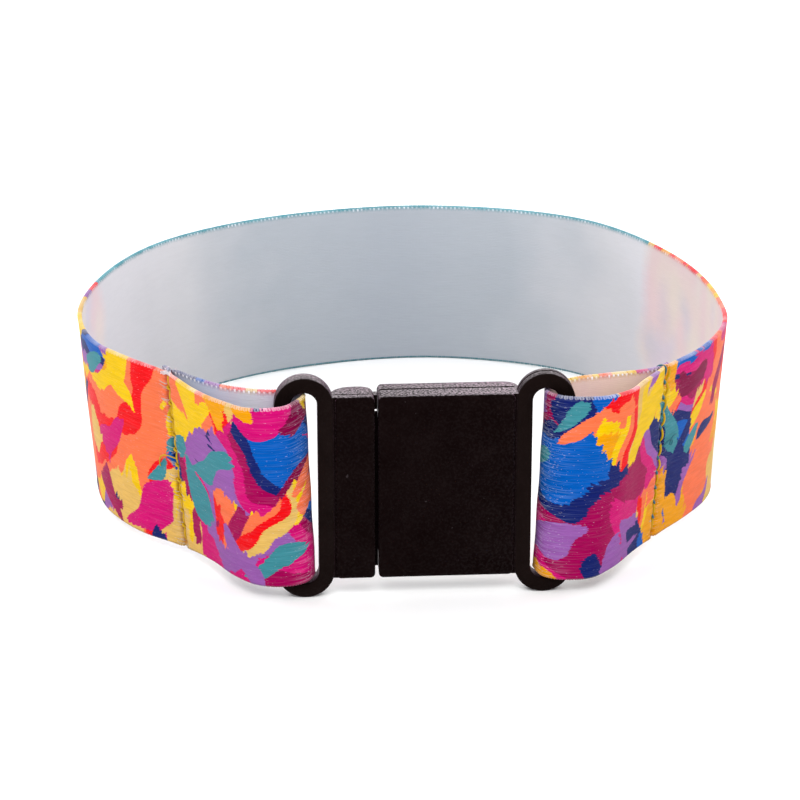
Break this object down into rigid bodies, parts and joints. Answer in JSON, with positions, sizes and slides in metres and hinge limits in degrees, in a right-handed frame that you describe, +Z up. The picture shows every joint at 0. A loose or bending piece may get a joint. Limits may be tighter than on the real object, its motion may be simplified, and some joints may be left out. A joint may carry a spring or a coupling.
{
  "type": "festival wristband with release buckle",
  "caption": "Printed satin ribbon wristband closed by a black two-part release buckle with a slotted ring at each end.",
  "frame": {"origin": "middle of the foot of the bounding box: the loop stands on its side on z = 0", "axes": "+Z up along the axis of the wrist, X along the buckle with its plug at -X, the buckle's flat front faces -Y"},
  "size_m": [0.0712, 0.08, 0.0232],
  "materials": {
    "ribbon": "woven polyester satin, printed in bright colours outside and plain pale grey inside",
    "buckle": "near-black moulded plastic with a fine sandblasted grain"
  },
  "bodies": {
    "root": {"strap": "ribbon", "buckle_plug": "buckle", "buckle_socket": "buckle"}
  },
  "joints": []
}
